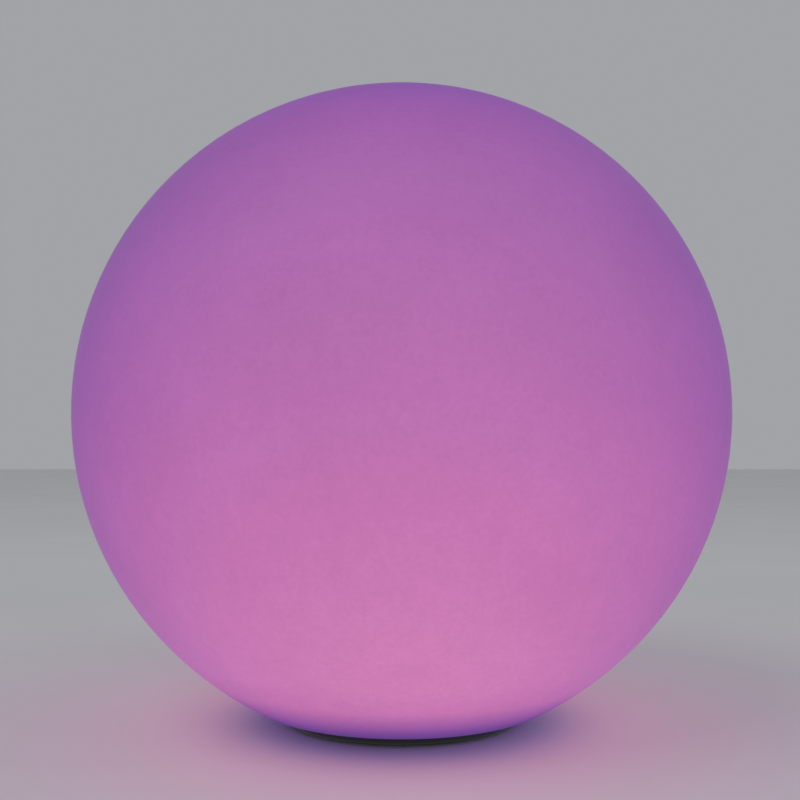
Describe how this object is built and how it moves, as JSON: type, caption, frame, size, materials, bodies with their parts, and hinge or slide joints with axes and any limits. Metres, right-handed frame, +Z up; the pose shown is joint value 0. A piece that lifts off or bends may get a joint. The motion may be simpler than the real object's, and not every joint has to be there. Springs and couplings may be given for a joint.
{
  "type": "floating pool light",
  "caption": "Glowing hollow plastic ball with a flat seat that screws onto a round ballasted light base with battery, lamp dome, button, charging socket and tether bail.",
  "frame": {"origin": "on the globe's vertical axis, on the surface that the foot ring stands on", "axes": "+Z up along the globe's axis; +X from the push button towards the charging socket; the tether bail is on the -Y side of the twist bar"},
  "size_m": [0.35, 0.3498, 0.3415],
  "materials": {
    "globe_skin": "satin, lit from inside",
    "neck_white": "satin",
    "silicone": "matt",
    "housing_black": "satin, fine texture",
    "foot_rubber": "matt",
    "ballast_steel": "zinc plated",
    "cradle_grey": "matt",
    "cell_wrap": "shrink wrap",
    "plated_steel": "plated",
    "screw_steel": "zinc plated",
    "board_green": "solder mask",
    "board_white": "solder mask",
    "chip_black": "moulded",
    "capacitor_can": "satin",
    "coil_ferrite": "matt",
    "socket_white": "moulded",
    "brass": "turned",
    "spreader_aluminium": "rolled",
    "lamp_body": "moulded",
    "lamp_light": "lit",
    "receiver_tint": "tinted",
    "dome_frost": "frosted, lit from inside",
    "clamp_white": "satin",
    "stainless": "satin",
    "button_grey": "matt",
    "light_pipe": "clear",
    "socket_black": "moulded",
    "contact_metal": "plated",
    "lead_red": "smooth",
    "lead_black": "smooth",
    "lead_white": "smooth",
    "cover_rubber": "matt"
  },
  "bodies": {
    "base": {"ballast_weights": "ballast_steel", "base_housing": "housing_black", "battery_cells": "cell_wrap", "battery_cradle": "cradle_grey", "battery_lead_minus": "lead_black", "battery_lead_plus": "lead_red", "battery_strap": "plated_steel", "board_capacitors": "capacitor_can", "board_link": "chip_black", "board_sockets": "socket_white", "board_standoffs": "brass", "button_boot": "silicone", "cell_tabs": "plated_steel", "charge_coil": "coil_ferrite", "charge_pin": "contact_metal", "charge_socket": "socket_black", "clamp_screws": "stainless", "control_board": "board_green", "control_chips": "chip_black", "dome_clamp_ring": "clamp_white", "dome_gasket": "silicone", "foot_ring": "foot_rubber", "heat_spreader": "spreader_aluminium", "lamp_board": "board_white", "lamp_board_screws": "screw_steel", "lamp_chips": "lamp_body", "lamp_dome": "dome_frost", "lamp_windows": "lamp_light", "port_cover_pin": "screw_steel", "push_switch": "chip_black", "remote_receiver": "receiver_tint", "socket_leads": "lead_white", "socket_nut": "brass", "socket_seal": "silicone", "socket_tags": "contact_metal", "status_lamp": "lamp_body", "status_light_pipe": "light_pipe", "strap_screws": "screw_steel", "switch_board": "board_green", "switch_board_screws": "screw_steel", "switch_leads": "lead_white", "tray_screws": "screw_steel"},
    "neck_seal": {"neck_gasket": "silicone"},
    "globe": {"globe_shell": "globe_skin", "neck_ring": "neck_white"},
    "button": {"power_button": "button_grey"},
    "cover": {"port_cover": "cover_rubber"},
    "bail": {"tether_bail": "stainless"}
  },
  "joints": [
    {"name": "globe_lift", "type": "slide", "parent": "base", "child": "neck_seal", "axis": [0, 0, 1], "range_m": [0, 0.12]},
    {"name": "globe_twist", "type": "hinge", "parent": "neck_seal", "child": "globe", "pos_m": [0, 0, 0.0056], "axis": [0, 0, 1], "range_deg": [0, 1800]},
    {"name": "button_press", "type": "slide", "parent": "base", "child": "button", "axis": [0, 0, 1], "range_m": [0, 0.0006], "stiffness_N_per_m": 1500, "springref_m": -0.0003, "deforming": ["button_boot"]},
    {"name": "cover_hinge", "type": "hinge", "parent": "base", "child": "cover", "pos_m": [0.032, 0, 0.0044], "axis": [0, -1, 0], "range_deg": [0, 100]},
    {"name": "bail_hinge", "type": "hinge", "parent": "base", "child": "bail", "pos_m": [0, -0.0165, 0.0056], "axis": [1, 0, 0], "range_deg": [0, 115]}
  ],
  "couplings": [
    {"joint": "globe_lift", "follows": "globe_twist", "m_per_rad": 0.0038197}
  ]
}
